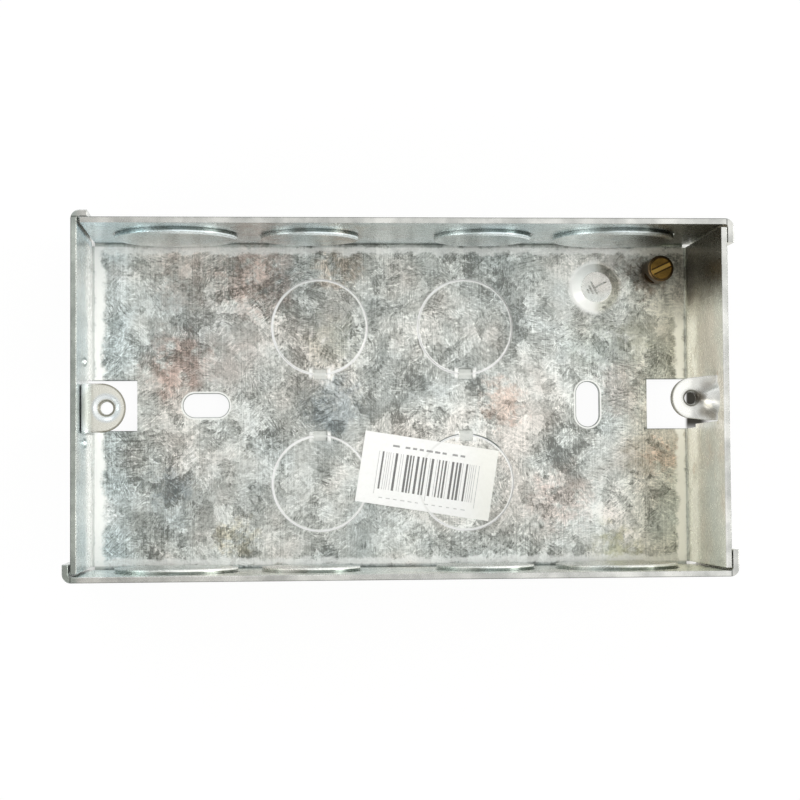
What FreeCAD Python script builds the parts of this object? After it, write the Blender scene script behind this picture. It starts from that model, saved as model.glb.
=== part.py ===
import FreeCAD, Part
import math
import os
import Sketcher

# Flush back box for two accessories side by side, in galvanised sheet steel.
# One pressed blank is folded into a tray. The tray carries a fixed lug on the right and
# a lug that slides across its short side on the left. A brass earth pillar is riveted
# into the base, and a paper label lies on it.
# Millimetres. The origin is the centre of the back face, +Z points out of the open
# mouth, +X along the length towards the fixed lug, +Y towards the earth pillar's side.

doc = FreeCAD.newDocument("flush_back_box")
dims = doc.addObject("Spreadsheet::Sheet", "dims")

SIZES = (
    # The folded tray.
    ("box_length", "134.0"),
    ("box_width", "73.6"),
    ("box_depth", "35.0"),
    ("sheet", "1.2"),
    ("bend_inside", "0.6"),
    ("corner_gap", "0.62"),
    ("notch_margin", "0.05"),
    # The tabs that close the corners from notch height up to the rim.
    ("tab_start", "2.0"),
    ("tab_bend", "0.6"),
    ("tab_gap_top_right", "0.2"),
    ("tab_gap_low_right", "0.3"),
    ("tab_gap_low_left", "0.45"),
    ("tab_gap_top_left", "0.15"),
    ("tab_reach_top_right", "5.0"),
    ("tab_reach_low_right", "5.5"),
    ("tab_reach_low_left", "3.7"),
    ("tab_reach_top_left", "3.3"),
    # The windows from the base up the end walls, and the narrower opening above the right
    # one that the fixed lug's blank leaves.
    ("window_width", "11.0"),
    ("window_right_from_end", "10.3"),
    ("window_left_from_end", "11.0"),
    ("window_height", "9.4"),
    ("lug_cut_gap", "0.1"),
    # The lugs and their screw holes.
    ("lug_hole_inset", "6.7"),
    ("lug_below_rim", "5.3"),
    ("lug_hole_radius", "1.45"),
    ("lug_hole_lead", "0.3"),
    ("collar_radius", "2.3"),
    ("collar_drop", "1.6"),
    ("fixed_lug_width", "9.3"),
    ("fixed_lug_tip", "4.2"),
    ("relief_radius", "0.5"),
    # The pressed rib that stiffens the fixed lug.
    ("rib_land", "0.1"),
    ("rib_sink", "1.0"),
    ("rib_start_radius", "1.3"),
    ("rib_wall_radius", "3.9"),
    ("rib_shell", "0.4"),
    # The sliding lug and the hook that holds it to the end wall.
    ("slider_sheet", "1.0"),
    ("slider_width", "10.0"),
    ("slider_tip", "5.0"),
    ("slider_bend", "1.8"),
    ("slider_clearance", "0.12"),
    ("slider_offset", "-1.6"),
    ("slider_tip_from_hole", "3.9"),
    ("slider_dish_radius", "2.6"),
    ("slider_dish_depth", "0.35"),
    ("slider_dish_slope", "60.0"),
    ("neck_width", "5.4"),
    ("hook_height", "0.9"),
    # The fixing slots in the base.
    ("slot_left_inset", "26.0"),
    ("slot_right_inset", "23.6"),
    ("slot_length", "10.0"),
    ("slot_width", "5.2"),
    # The knockouts: two sizes of disc, half sheared and pushed inwards.
    ("small_disc_radius", "10.4"),
    ("large_disc_radius", "12.95"),
    ("shear_gap", "0.22"),
    ("base_disc_x", "16.1"),
    ("base_disc_y", "17.2"),
    ("base_disc_push", "0.35"),
    ("base_tab_width", "3.0"),
    ("nib_length", "2.4"),
    ("nib_depth", "0.25"),
    ("large_disc_inset", "20.2"),
    ("small_disc_pitch", "37.0"),
    ("wall_disc_height", "15.6"),
    ("wall_disc_push", "0.9"),
    ("wall_tab_width", "2.2"),
    # The raised boss for the earth symbol.
    ("boss_from_end", "21.6"),
    ("boss_from_side", "10.8"),
    ("boss_radius", "5.3"),
    ("boss_height", "1.5"),
    ("boss_slope", "52.0"),
    # The two small dimples in the left wall that stop the sliding lug.
    ("dimple_y", "8.5"),
    ("dimple_z", "18.5"),
    ("dimple_radius", "1.2"),
    ("dimple_depth", "0.5"),
    ("dimple_slope", "38.0"),
    # The brass pillar and its clamp screw.
    ("pillar_from_end", "8.2"),
    ("pillar_from_side", "7.3"),
    ("pillar_radius", "2.85"),
    ("pillar_height", "7.3"),
    ("pillar_edge", "0.3"),
    ("rivet_radius", "1.6"),
    ("rivet_head", "0.6"),
    ("wire_hole_radius", "1.5"),
    ("wire_hole_height", "3.0"),
    ("wire_hole_turn", "45.0"),
    ("screw_radius", "1.75"),
    ("screw_head_radius", "2.4"),
    ("screw_head_height", "0.55"),
    ("screw_edge", "0.2"),
    ("screw_fit", "0.05"),
    ("screw_tip_gap", "0.4"),
    ("screw_slot_width", "1.1"),
    ("screw_slot_depth", "0.45"),
    ("screw_slot_reach", "2.1"),
    ("screw_slot_turn", "25.0"),
    # The paper label.
    ("label_length", "29.8"),
    ("label_width", "15.7"),
    ("label_thickness", "0.12"),
    ("label_x", "7.4"),
    ("label_from_side", "21.1"),
    ("label_turn", "-9.05"),
)


class Size:
    """A number from the sheet together with the expression that it comes from."""

    def __init__(self, text, number):
        self.text = text
        self.number = number

    def __add__(self, other):
        return Size(f"({self.text} + {other.text})", self.number + other.number)

    def __sub__(self, other):
        return Size(f"({self.text} - {other.text})", self.number - other.number)

    def __mul__(self, factor):
        return Size(f"({self.text} * {factor})", self.number * factor)

    def __truediv__(self, divisor):
        return Size(f"({self.text} / {divisor})", self.number / divisor)

    def __neg__(self):
        return Size(f"(0 - {self.text})", -self.number)


class Sizes:
    """The cells of the sheet, one attribute for each alias."""


s = Sizes()
for row, (alias, number) in enumerate(SIZES, start=1):
    dims.set(f"A{row}", alias)
    dims.set(f"B{row}", number)
    dims.setAlias(f"B{row}", alias)
doc.recompute()
for alias, number in SIZES:
    setattr(s, alias, Size(f"dims.{alias}", float(dims.get(alias))))

ZERO = None


def number_of(size):
    return 0.0 if size is ZERO else size.number


def bind(thing, prop, size):
    """Tie one property of an object to the sheet."""
    thing.setExpression(prop, size.text)


def new_body(name):
    body = doc.addObject("PartDesign::Body", name)
    body.Label = name
    return body


def new_sketch(body, name, role, offset=ZERO):
    """A sketch on one of the body's own planes, moved along its normal by an offset."""
    sketch = body.newObject("Sketcher::SketchObject", name)
    plane = [item for item in body.Origin.OriginFeatures if item.Role == role][0]
    sketch.AttachmentSupport = [(plane, "")]
    sketch.MapMode = "FlatFace"
    if offset is not ZERO:
        sketch.AttachmentOffset = FreeCAD.Placement(
            FreeCAD.Vector(0, 0, offset.number), FreeCAD.Rotation())
        bind(sketch, "AttachmentOffset.Base.z", offset)
    return sketch


def pin(sketch, geometry, position, kind, size):
    """Fix one coordinate of a point, measured from the sketch's origin."""
    if size is ZERO:
        axis = -2 if kind == "DistanceX" else -1
        sketch.addConstraint(Sketcher.Constraint("PointOnObject", geometry, position, axis))
        return
    index = sketch.addConstraint(
        Sketcher.Constraint(kind, -1, 1, geometry, position, size.number))
    sketch.setExpression(f"Constraints[{index}]", size.text)


def contour(sketch, points):
    """A closed outline. Each point is (x, y), or (x, y, centre x, centre y, sense) when an
    arc of that centre leads on from it to the next point."""
    normal = FreeCAD.Vector(0, 0, 1)
    ends = []
    for index, point in enumerate(points):
        following = points[(index + 1) % len(points)]
        start = FreeCAD.Vector(number_of(point[0]), number_of(point[1]), 0)
        finish = FreeCAD.Vector(number_of(following[0]), number_of(following[1]), 0)
        if len(point) == 2:
            geometry = sketch.addGeometry(Part.LineSegment(start, finish), False)
            ends.append((geometry, 1, 2))
            continue
        centre = FreeCAD.Vector(number_of(point[2]), number_of(point[3]), 0)
        radius = (start - centre).Length
        first, last = (start, finish) if point[4] == "ccw" else (finish, start)
        angle_one = math.atan2(first.y - centre.y, first.x - centre.x)
        angle_two = math.atan2(last.y - centre.y, last.x - centre.x)
        circle = Part.Circle(centre, normal, radius)
        geometry = sketch.addGeometry(Part.ArcOfCircle(circle, angle_one, angle_two), False)
        ends.append((geometry, 1, 2) if point[4] == "ccw" else (geometry, 2, 1))
    for index, point in enumerate(points):
        geometry, start_pos, finish_pos = ends[index]
        next_geometry, next_start, _ = ends[(index + 1) % len(points)]
        sketch.addConstraint(Sketcher.Constraint(
            "Coincident", geometry, finish_pos, next_geometry, next_start))
        pin(sketch, geometry, start_pos, "DistanceX", point[0])
        pin(sketch, geometry, start_pos, "DistanceY", point[1])
        if len(point) == 5:
            following = points[(index + 1) % len(points)]
            across = abs(number_of(following[0]) - number_of(point[0]))
            along = abs(number_of(following[1]) - number_of(point[1]))
            if across < along:
                pin(sketch, geometry, 3, "DistanceX", point[2])
            else:
                pin(sketch, geometry, 3, "DistanceY", point[3])


def circle(sketch, x, y, radius):
    centre = FreeCAD.Vector(number_of(x), number_of(y), 0)
    shape = Part.Circle(centre, FreeCAD.Vector(0, 0, 1), radius.number)
    geometry = sketch.addGeometry(shape, False)
    pin(sketch, geometry, 3, "DistanceX", x)
    pin(sketch, geometry, 3, "DistanceY", y)
    index = sketch.addConstraint(Sketcher.Constraint("Radius", geometry, radius.number))
    sketch.setExpression(f"Constraints[{index}]", radius.text)


def rectangle(sketch, left, right, low, high):
    contour(sketch, [(left, low), (right, low), (right, high), (left, high)])


def swept(body, kind, name, sketch, length, both=False, back=False, taper=ZERO):
    """A pad or a pocket of a sketch, checked to add or remove material."""
    before = body.Shape.Volume if body.Tip is not None else 0.0
    feature = body.newObject(f"PartDesign::{kind}", name)
    feature.Profile = sketch
    feature.Length = length.number
    bind(feature, "Length", length)
    feature.SideType = "Symmetric" if both else "One side"
    feature.Reversed = back
    if taper is not ZERO:
        bind(feature, "TaperAngle", taper)
    body.Tip = feature
    doc.recompute()
    after = body.Shape.Volume
    gained = after > before + 1e-6
    lost = after < before - 1e-6
    if (kind == "Pad" and not gained) or (kind == "Pocket" and not lost):
        raise RuntimeError(f"{name} changed the volume from {before} to {after}")
    return feature


def pad(body, name, sketch, length, both=False, back=False, taper=ZERO):
    return swept(body, "Pad", name, sketch, length, both, back, taper)


def pocket(body, name, sketch, length, both=False, back=False, taper=ZERO):
    return swept(body, "Pocket", name, sketch, length, both, back, taper)


def turned(body, kind, name, sketch, degrees, back=False):
    """A revolution or a groove about the sketch's own horizontal axis."""
    before = body.Shape.Volume
    feature = body.newObject(f"PartDesign::{kind}", name)
    feature.Profile = sketch
    feature.ReferenceAxis = (sketch, ["H_Axis"])
    feature.Angle = degrees
    feature.Reversed = back
    body.Tip = feature
    doc.recompute()
    if abs(body.Shape.Volume - before) < 1e-6:
        raise RuntimeError(f"{name} changed nothing")
    return feature


def round_edges(shape, z, radius):
    """Names of the round edges of one radius at one height."""
    names = []
    for index, edge in enumerate(shape.Edges, start=1):
        if not isinstance(edge.Curve, Part.Circle):
            continue
        if abs(edge.Curve.Radius - radius) > 1e-4:
            continue
        if all(abs(vertex.Z - z) < 1e-4 for vertex in edge.Vertexes):
            names.append(f"Edge{index}")
    return names


def chamfer(body, name, edges, size):
    before = body.Shape.Volume
    base = body.Tip
    feature = body.newObject("PartDesign::Chamfer", name)
    feature.Base = (base, edges)
    feature.Size = size.number
    bind(feature, "Size", size)
    body.Tip = feature
    doc.recompute()
    if "Invalid" in feature.State or body.Shape.Volume >= before - 1e-6:
        raise RuntimeError(f"{name} failed on {edges}")
    return feature


half_length = s.box_length / 2
half_width = s.box_width / 2
inner_x = half_length - s.sheet
inner_y = half_width - s.sheet
bend_outside = s.bend_inside + s.sheet
lug_top = s.box_depth - s.lug_below_rim
lug_under = lug_top - s.sheet
hole_x = half_length - s.lug_hole_inset
slot_left_x = s.slot_left_inset - half_length
slot_right_x = half_length - s.slot_right_inset
boss_x = half_length - s.boss_from_end
boss_y = half_width - s.boss_from_side
pillar_x = half_length - s.pillar_from_end
pillar_y = half_width - s.pillar_from_side
label_y = s.label_from_side - half_width

# The tray, from one sheet.
box = new_body("back_box")


def channel(name, role, half, length):
    """A U section: the base and the two walls that stand up from it, with rolled bends."""
    face = half - s.sheet
    start = half - bend_outside
    sketch = new_sketch(box, name + "_profile", role)
    contour(sketch, [
        (-half, s.box_depth),
        (-half, bend_outside, -start, bend_outside, "ccw"),
        (-start, ZERO),
        (start, ZERO, start, bend_outside, "ccw"),
        (half, bend_outside),
        (half, s.box_depth),
        (face, s.box_depth),
        (face, bend_outside, start, bend_outside, "cw"),
        (start, s.sheet),
        (-start, s.sheet, -start, bend_outside, "cw"),
        (-face, bend_outside),
        (-face, s.box_depth),
    ])
    return pad(box, name, sketch, length, both=True)


end_run = inner_y - s.corner_gap
wall_run = half_length - bend_outside - s.notch_margin
channel("end_walls", "XZ_Plane", half_length, end_run * 2)
channel("long_walls", "YZ_Plane", half_width, wall_run * 2)

# The corner tabs. Three run on from a long wall, round the corner and over the outside of
# the end wall; the upper left one runs on from the end wall over the long wall.
tab_length = s.box_depth - s.tab_start


def wall_tab(name, side, top, gap, reach):
    """A long wall's end, folded over the outside of the end wall on side +1 or -1."""
    near = half_length + gap
    far = near + s.sheet
    fold_x = near - s.tab_bend
    fold_y = inner_y - s.tab_bend
    end_y = half_width - reach
    root_x = wall_run - s.sheet

    def at(x, y):
        return (x if side > 0 else -x, y if top > 0 else -y)

    turn = "ccw" if side * top > 0 else "cw"
    back = "cw" if side * top > 0 else "ccw"
    sketch = new_sketch(box, name + "_outline", "XY_Plane", s.tab_start)
    contour(sketch, [
        at(root_x, inner_y),
        at(fold_x, inner_y) + at(fold_x, fold_y) + (back,),
        at(near, fold_y),
        at(near, end_y),
        at(far, end_y),
        at(far, fold_y) + at(fold_x, fold_y) + (turn,),
        at(fold_x, half_width),
        at(root_x, half_width),
    ])
    return pad(box, name, sketch, tab_length)


wall_tab("tab_top_right", 1, 1, s.tab_gap_top_right, s.tab_reach_top_right)
wall_tab("tab_low_right", 1, -1, s.tab_gap_low_right, s.tab_reach_low_right)
wall_tab("tab_low_left", -1, -1, s.tab_gap_low_left, s.tab_reach_low_left)

tab_near = half_width + s.tab_gap_top_left
tab_far = tab_near + s.sheet
tab_fold_x = inner_x - s.tab_bend
tab_fold_y = tab_near - s.tab_bend
tab_root_y = end_run - s.sheet
tab_end_x = half_length - s.tab_reach_top_left
tab_sketch = new_sketch(box, "tab_top_left_outline", "XY_Plane", s.tab_start)
contour(tab_sketch, [
    (-inner_x, tab_root_y),
    (-inner_x, tab_fold_y, -tab_fold_x, tab_fold_y, "cw"),
    (-tab_fold_x, tab_near),
    (-tab_end_x, tab_near),
    (-tab_end_x, tab_far),
    (-tab_fold_x, tab_far, -tab_fold_x, tab_fold_y, "ccw"),
    (-half_length, tab_fold_y),
    (-half_length, tab_root_y),
])
pad(box, "tab_top_left", tab_sketch, tab_length)

# The windows: each runs from the base round the bend and a little way up the end wall.
beyond = half_length + s.sheet
window_right = half_length - s.window_right_from_end
window_left = half_length - s.window_left_from_end
windows = new_sketch(box, "windows_profile", "XZ_Plane")
rectangle(windows, window_right, beyond, -s.sheet, s.window_height)
rectangle(windows, -beyond, -window_left, -s.sheet, s.window_height)
pocket(box, "windows", windows, s.window_width, both=True)

# The opening above the right window, cut close round the blank that is bent in as the lug.
lug_cut = new_sketch(box, "lug_cut_profile", "XZ_Plane")
rectangle(lug_cut, inner_x - s.sheet, beyond, s.window_height, lug_top)
pocket(box, "lug_cut", lug_cut, s.fixed_lug_width + s.lug_cut_gap * 2, both=True)

# Relief notches at the root of the fixed lug, drilled through the end wall.
relief_y = s.fixed_lug_width / 2 + s.relief_radius
reliefs = new_sketch(box, "lug_reliefs_outline", "YZ_Plane", inner_x - s.sheet)
circle(reliefs, relief_y, lug_top, s.relief_radius)
circle(reliefs, -relief_y, lug_top, s.relief_radius)
pocket(box, "lug_reliefs", reliefs, s.sheet * 3, back=True)

# The fixed lug: bent in from the end wall, with a rounded tip.
fold_start = half_length - bend_outside
fold_height = lug_top + s.bend_inside
lug_fold = new_sketch(box, "fixed_lug_fold_profile", "XZ_Plane")
contour(lug_fold, [
    (fold_start - s.sheet, lug_under),
    (fold_start, lug_under, fold_start, fold_height, "ccw"),
    (half_length, fold_height),
    (half_length, fold_height + s.sheet),
    (inner_x, fold_height + s.sheet),
    (inner_x, fold_height, fold_start, fold_height, "cw"),
    (fold_start, lug_top),
    (fold_start - s.sheet, lug_top),
])
pad(box, "fixed_lug_fold", lug_fold, s.fixed_lug_width, both=True)

tongue = new_sketch(box, "fixed_lug_tongue_outline", "XY_Plane", lug_under)
tongue_half = s.fixed_lug_width / 2
contour(tongue, [
    (hole_x, s.fixed_lug_tip, hole_x, ZERO, "ccw"),
    (hole_x, -s.fixed_lug_tip),
    (fold_start - s.sheet, -tongue_half),
    (fold_start, -tongue_half),
    (fold_start, tongue_half),
    (fold_start - s.sheet, tongue_half),
])
pad(box, "fixed_lug_tongue", tongue, s.sheet)

# The pressed rib: part of a cone that widens from the lug to the wall, hollow from below.
rib_start = hole_x + s.lug_hole_radius + s.lug_hole_lead + s.rib_land
rib_height = new_sketch(box, "lug_rib_profile", "XY_Plane", lug_top - s.rib_sink)
contour(rib_height, [
    (rib_start, ZERO),
    (inner_x + s.sheet / 2, ZERO),
    (inner_x + s.sheet / 2, s.rib_wall_radius),
    (rib_start, s.rib_start_radius),
])
turned(box, "Revolution", "lug_rib", rib_height, 180.0)

# The extruded collar below the fixed lug, and the screw hole through it.
collar = new_sketch(box, "lug_collar_outline", "XY_Plane", lug_under)
circle(collar, hole_x, ZERO, s.collar_radius)
pad(box, "lug_collar", collar, s.collar_drop, back=True)

hollow = new_sketch(box, "lug_rib_hollow_profile", "XY_Plane", lug_under - s.rib_sink)
hollow_start = rib_start + s.sheet
contour(hollow, [
    (hollow_start, ZERO),
    (half_length + s.sheet, ZERO),
    (half_length + s.sheet, s.rib_wall_radius - s.rib_shell),
    (hollow_start, s.rib_start_radius - s.rib_shell),
])
turned(box, "Groove", "lug_rib_hollow", hollow, 180.0)

screw_hole = new_sketch(box, "lug_hole_outline", "XY_Plane", lug_top)
circle(screw_hole, hole_x, ZERO, s.lug_hole_radius)
pocket(box, "lug_hole", screw_hole, s.sheet + s.collar_drop * 2)
chamfer(box, "lug_hole_lead_in",
        round_edges(box.Shape, lug_top.number, s.lug_hole_radius.number), s.lug_hole_lead)

# The fixing slots: the left one lies along the box, the right one across it.
slots = new_sketch(box, "fixing_slots_outline", "XY_Plane")
slot_round = s.slot_width / 2
slot_straight = s.slot_length / 2 - slot_round
contour(slots, [
    (slot_left_x + slot_straight, -slot_round, slot_left_x + slot_straight, ZERO, "ccw"),
    (slot_left_x + slot_straight, slot_round),
    (slot_left_x - slot_straight, slot_round, slot_left_x - slot_straight, ZERO, "ccw"),
    (slot_left_x - slot_straight, -slot_round),
])
contour(slots, [
    (slot_right_x + slot_round, slot_straight, slot_right_x, slot_straight, "ccw"),
    (slot_right_x - slot_round, slot_straight),
    (slot_right_x - slot_round, -slot_straight, slot_right_x, -slot_straight, "ccw"),
    (slot_right_x + slot_round, -slot_straight),
])
pocket(box, "fixing_slots", slots, s.sheet * 4, both=True)


def shear_ring(sketch, x, y, radius, tab_width, tab_side):
    """The slit round a knockout, open at one tab: side +1 above the disc, -1 below it."""
    outer = radius + s.shear_gap
    half = tab_width / 2
    inner_rise = Size(f"sqrt({radius.text} ^ 2 - {half.text} ^ 2)",
                      math.sqrt(radius.number ** 2 - half.number ** 2))
    outer_rise = Size(f"sqrt({outer.text} ^ 2 - {half.text} ^ 2)",
                      math.sqrt(outer.number ** 2 - half.number ** 2))
    if tab_side > 0:
        contour(sketch, [
            (x - half, y + outer_rise, x, y, "ccw"),
            (x + half, y + outer_rise),
            (x + half, y + inner_rise, x, y, "cw"),
            (x - half, y + inner_rise),
        ])
    else:
        contour(sketch, [
            (x + half, y - outer_rise, x, y, "ccw"),
            (x - half, y - outer_rise),
            (x - half, y - inner_rise, x, y, "cw"),
            (x + half, y - inner_rise),
        ])


# The knockouts of the base: slit, disc pushed in, and the hollow that it leaves outside.
base_discs = []
for sign_x in (-1, 1):
    for sign_y in (-1, 1):
        base_discs.append((s.base_disc_x * sign_x, s.base_disc_y * sign_y, sign_y))
base_slits = new_sketch(box, "base_slits_outline", "XY_Plane")
for x, y, sign_y in base_discs:
    shear_ring(base_slits, x, y, s.small_disc_radius, s.base_tab_width, -sign_y)
pocket(box, "base_slits", base_slits, s.sheet * 4, both=True)
base_raise = new_sketch(box, "base_discs_outline", "XY_Plane", s.sheet)
for x, y, sign_y in base_discs:
    circle(base_raise, x, y, s.small_disc_radius)
pad(box, "base_discs", base_raise, s.base_disc_push)
base_hollow = new_sketch(box, "base_disc_hollows_outline", "XY_Plane")
for x, y, sign_y in base_discs:
    circle(base_hollow, x, y, s.small_disc_radius)
pocket(box, "base_disc_hollows", base_hollow, s.base_disc_push, back=True)

# The small flat that the punch leaves across the tab of each base knockout.
nibs = new_sketch(box, "nibs_outline", "XY_Plane", s.sheet - s.nib_depth)
half_nib = s.base_tab_width / 2
for x, y, sign_y in base_discs:
    ring_y = y - s.small_disc_radius * sign_y
    rectangle(nibs, x - half_nib, x + half_nib,
              ring_y - s.nib_length / 2, ring_y + s.nib_length / 2)
pocket(box, "nibs", nibs, s.sheet, back=True)

# The knockouts of the long walls, with their tabs towards the rim: a large one near each
# end and as many small ones between them as fit at their pitch.
large_x = half_length - s.large_disc_inset
wall_discs = [(-large_x, s.large_disc_radius), (large_x, s.large_disc_radius)]
room = 2 * (large_x.number - s.large_disc_radius.number - s.sheet.number)
small_count = int((room - 2 * s.small_disc_radius.number) / s.small_disc_pitch.number) + 1
for index in range(small_count):
    x = s.small_disc_pitch * (index - (small_count - 1) / 2)
    wall_discs.append((x, s.small_disc_radius))
clear = s.sheet / 2
for side, sign in (("top", -1), ("low", 1)):
    slits = new_sketch(box, f"{side}_slits_outline", "XZ_Plane", (half_width + clear) * sign)
    for x, radius in wall_discs:
        shear_ring(slits, x, s.wall_disc_height, radius, s.wall_tab_width, 1)
    pocket(box, f"{side}_slits", slits, s.sheet + clear * 2, back=side == "top")
    wall_raise = new_sketch(box, f"{side}_discs_outline", "XZ_Plane", inner_y * sign)
    for x, radius in wall_discs:
        circle(wall_raise, x, s.wall_disc_height, radius)
    pad(box, f"{side}_discs", wall_raise, s.wall_disc_push, back=side == "low")
    wall_hollow = new_sketch(box, f"{side}_hollows_outline", "XZ_Plane", half_width * sign)
    for x, radius in wall_discs:
        circle(wall_hollow, x, s.wall_disc_height, radius)
    pocket(box, f"{side}_hollows", wall_hollow, s.wall_disc_push, back=side == "top")

# The boss for the earth symbol, pressed up from the base.
boss = new_sketch(box, "boss_outline", "XY_Plane", s.sheet)
circle(boss, boss_x, boss_y, s.boss_radius)
pad(box, "boss", boss, s.boss_height, taper=-s.boss_slope)
boss_hollow = new_sketch(box, "boss_hollow_outline", "XY_Plane")
circle(boss_hollow, boss_x, boss_y, s.boss_radius - s.sheet / 3)
pocket(box, "boss_hollow", boss_hollow, s.boss_height, back=True, taper=-s.boss_slope)

# The two dimples of the left wall, pressed inwards.
dimples = new_sketch(box, "dimples_outline", "YZ_Plane", -inner_x)
circle(dimples, s.dimple_y, s.dimple_z, s.dimple_radius)
circle(dimples, -s.dimple_y, s.dimple_z, s.dimple_radius)
pad(box, "dimples", dimples, s.dimple_depth, taper=-s.dimple_slope)
dimple_hollows = new_sketch(box, "dimple_hollows_outline", "YZ_Plane", -half_length)
circle(dimple_hollows, s.dimple_y, s.dimple_z, s.dimple_radius)
circle(dimple_hollows, -s.dimple_y, s.dimple_z, s.dimple_radius)
pocket(box, "dimple_hollows", dimple_hollows, s.dimple_depth, back=True,
       taper=-s.dimple_slope)

# The hole for the pillar's rivet shank, widened below for the rivet's head.
rivet_hole = new_sketch(box, "rivet_hole_outline", "XY_Plane")
circle(rivet_hole, pillar_x, pillar_y, s.rivet_radius)
pocket(box, "rivet_hole", rivet_hole, s.sheet * 4, both=True)
chamfer(box, "rivet_seat",
        round_edges(box.Shape, 0.0, s.rivet_radius.number), s.rivet_head)

# The sliding lug. Its leg lies inside the end wall, passes out through the window below
# the wall and hooks up behind it, so it can only slide across the box, from one of the
# wall's dimples to the other.
slider = new_body("adjustable_lug")
slider_under = lug_top - s.slider_sheet
leg_out = inner_x - s.slider_clearance
leg_in = leg_out - s.slider_sheet
hook_in = half_length + s.slider_clearance
hook_out = hook_in + s.slider_sheet
slider_bend_out = s.slider_bend + s.slider_sheet
bend_x = leg_out - slider_bend_out
bend_z = lug_top - slider_bend_out
shoulder = s.window_height + s.slider_clearance * 2
slider_hole_x = -hole_x
tip_x = hole_x - s.slider_tip_from_hole + s.slider_tip

leg = new_sketch(slider, "slider_leg_profile", "XZ_Plane")
contour(leg, [
    (-leg_out, shoulder),
    (-leg_in, shoulder),
    (-leg_in, bend_z, -bend_x, bend_z, "cw"),
    (-bend_x, slider_under),
    (-tip_x, slider_under),
    (-tip_x, lug_top),
    (-bend_x, lug_top, -bend_x, bend_z, "ccw"),
    (-leg_out, bend_z),
])
pad(slider, "slider_leg", leg, s.slider_width, both=True)

neck = new_sketch(slider, "slider_neck_profile", "XZ_Plane")
neck_x = (leg_out + hook_in) / 2
contour(neck, [
    (-leg_in, shoulder + s.slider_sheet),
    (-leg_out, shoulder + s.slider_sheet),
    (-leg_out, s.window_height, -neck_x, s.window_height, "cw"),
    (-hook_in, s.window_height),
    (-hook_in, s.window_height + s.hook_height),
    (-hook_out, s.window_height + s.hook_height),
    (-hook_out, s.window_height, -neck_x, s.window_height, "ccw"),
    (-leg_in, s.window_height),
])
pad(slider, "slider_neck", neck, s.neck_width, both=True)

slider_tongue = new_sketch(slider, "slider_tongue_outline", "XY_Plane", slider_under)
contour(slider_tongue, [
    (-tip_x, -s.slider_tip, -tip_x, ZERO, "ccw"),
    (-tip_x, s.slider_tip),
])
pad(slider, "slider_tongue", slider_tongue, s.slider_sheet)
slider_collar = new_sketch(slider, "slider_collar_outline", "XY_Plane", slider_under)
circle(slider_collar, slider_hole_x, ZERO, s.collar_radius)
pad(slider, "slider_collar", slider_collar, s.collar_drop, back=True)
slider_dish = new_sketch(slider, "slider_dish_outline", "XY_Plane", lug_top)
circle(slider_dish, slider_hole_x, ZERO, s.slider_dish_radius)
pocket(slider, "slider_dish", slider_dish, s.slider_dish_depth, taper=-s.slider_dish_slope)
slider_hole = new_sketch(slider, "slider_hole_outline", "XY_Plane", lug_top)
circle(slider_hole, slider_hole_x, ZERO, s.lug_hole_radius)
pocket(slider, "slider_hole", slider_hole, s.sheet + s.collar_drop * 2)
chamfer(slider, "slider_hole_lead_in",
        round_edges(slider.Shape, lug_top.number - s.slider_dish_depth.number,
                    s.lug_hole_radius.number),
        s.lug_hole_lead)
bind(slider, "Placement.Base.y", s.slider_offset)

# The earth pillar: a turned brass post, shouldered on the base and riveted below it.
pillar = new_body("earth_pillar")
pillar_top = s.sheet + s.pillar_height
pillar_side = new_sketch(pillar, "pillar_half_profile", "XZ_Plane")
contour(pillar_side, [
    (ZERO, ZERO),
    (s.rivet_radius + s.rivet_head, ZERO),
    (s.rivet_radius, s.rivet_head),
    (s.rivet_radius, s.sheet),
    (s.pillar_radius, s.sheet),
    (s.pillar_radius, pillar_top - s.pillar_edge),
    (s.pillar_radius - s.pillar_edge, pillar_top),
    (ZERO, pillar_top),
])
post = pillar.newObject("PartDesign::Revolution", "pillar_post")
post.Profile = pillar_side
post.ReferenceAxis = (pillar_side, ["V_Axis"])
post.Angle = 360.0
pillar.Tip = post
doc.recompute()

wire_height = s.sheet + s.wire_hole_height
wire_hole = new_sketch(pillar, "wire_hole_outline", "XZ_Plane")
circle(wire_hole, ZERO, wire_height, s.wire_hole_radius)
pocket(pillar, "wire_hole", wire_hole, s.pillar_radius * 4, both=True)
screw_low = wire_height - s.wire_hole_radius + s.screw_tip_gap
screw_bore = new_sketch(pillar, "screw_bore_outline", "XY_Plane", pillar_top)
circle(screw_bore, ZERO, ZERO, s.screw_radius + s.screw_fit)
pocket(pillar, "screw_bore", screw_bore, pillar_top - wire_height + s.wire_hole_radius)
pillar.Placement = FreeCAD.Placement(
    FreeCAD.Vector(pillar_x.number, pillar_y.number, 0),
    FreeCAD.Rotation(FreeCAD.Vector(0, 0, 1), -s.wire_hole_turn.number))
bind(pillar, "Placement.Base.x", pillar_x)
bind(pillar, "Placement.Base.y", pillar_y)
bind(pillar, "Placement.Rotation.Angle", -s.wire_hole_turn)

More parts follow.
